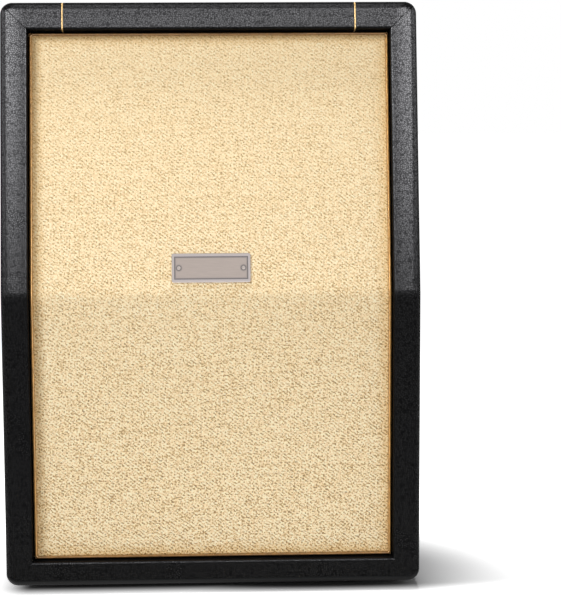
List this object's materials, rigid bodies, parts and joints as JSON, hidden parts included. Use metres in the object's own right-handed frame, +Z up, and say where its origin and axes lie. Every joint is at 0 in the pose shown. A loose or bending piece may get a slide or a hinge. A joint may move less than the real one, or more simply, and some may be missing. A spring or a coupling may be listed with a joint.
{
  "type": "guitar speaker cabinet",
  "caption": "Upright guitar speaker cabinet with a leaning upper front, recessed cream grille, gold piping, black vinyl covering and recessed side handles.",
  "frame": {"origin": "on the floor under the middle of the case", "axes": "+Z up, -Y out of the front, +X to the right of someone facing the front"},
  "size_m": [0.5412, 0.3, 0.7499],
  "materials": {
    "plywood": "birch plywood, sanded",
    "vinyl": "grained black leathercloth vinyl",
    "gold_trim": "gold plastic piping",
    "grille_cloth": "open woven cream cloth",
    "nickel": "satin nickel plate",
    "black_plastic": "textured black moulding",
    "black_steel": "black finish",
    "plated_steel": "zinc plated",
    "rubber": "black rubber",
    "gasket_board": "pressed gasket board",
    "cone_paper": "dark pulp paper",
    "spider_cloth": "resin-dipped cloth",
    "coil_copper": "enamelled copper",
    "ferrite": "dark ferrite"
  },
  "bodies": {
    "cabinet": {"back_battens_level": "plywood", "back_battens_upright": "plywood", "back_board": "plywood", "back_cup_washers": "plated_steel", "back_screws": "plated_steel", "badge_pins": "nickel", "badge_plate": "nickel", "baffle_cleat": "plywood", "baffle_lower": "plywood", "baffle_screws": "plated_steel", "baffle_upper": "plywood", "basket_lower": "black_steel", "basket_upper": "black_steel", "bottom_board": "plywood", "foot_screws": "plated_steel", "front_batten_bottom": "plywood", "front_batten_left": "plywood", "front_batten_right": "plywood", "front_batten_top": "plywood", "front_plate_lower": "plated_steel", "front_plate_upper": "plated_steel", "gasket_lower": "gasket_board", "gasket_upper": "gasket_board", "grille_cloth": "grille_cloth", "grille_piping": "gold_trim", "handle_dish_left": "black_plastic", "handle_dish_right": "black_plastic", "handle_grip_left": "black_plastic", "handle_grip_right": "black_plastic", "inlay_cord_left": "gold_trim", "inlay_cord_right": "gold_trim", "jack_cup": "black_plastic", "jack_nut": "nickel", "jack_socket": "black_plastic", "magnet_lower": "ferrite", "magnet_upper": "ferrite", "pole_yoke_lower": "plated_steel", "pole_yoke_upper": "plated_steel", "rubber_feet": "rubber", "side_board_left": "plywood", "side_board_right": "plywood", "speaker_bolts": "black_steel", "speaker_cables": "rubber", "spider_lower": "spider_cloth", "spider_upper": "spider_cloth", "surround_lower": "cone_paper", "surround_upper": "cone_paper", "t_nuts": "plated_steel", "terminal_strips": "black_plastic", "top_board": "plywood", "trim_screws": "black_steel", "vinyl_back": "vinyl", "vinyl_top": "vinyl", "vinyl_wrap": "vinyl"},
    "upper_cone": {"cone_upper": "cone_paper", "dust_cap_upper": "cone_paper", "voice_coil_upper": "coil_copper"},
    "lower_cone": {"cone_lower": "cone_paper", "dust_cap_lower": "cone_paper", "voice_coil_lower": "coil_copper"}
  },
  "joints": [
    {"name": "upper_cone_travel", "type": "slide", "parent": "cabinet", "child": "upper_cone", "axis": [0, -0.982, 0.1891], "range_m": [-0.003, 0.003], "stiffness_N_per_m": 5000, "deforming": ["surround_upper", "spider_upper"]},
    {"name": "lower_cone_travel", "type": "slide", "parent": "cabinet", "child": "lower_cone", "axis": [0, -1, 0], "range_m": [-0.003, 0.003], "stiffness_N_per_m": 5000, "deforming": ["surround_lower", "spider_lower"]}
  ]
}
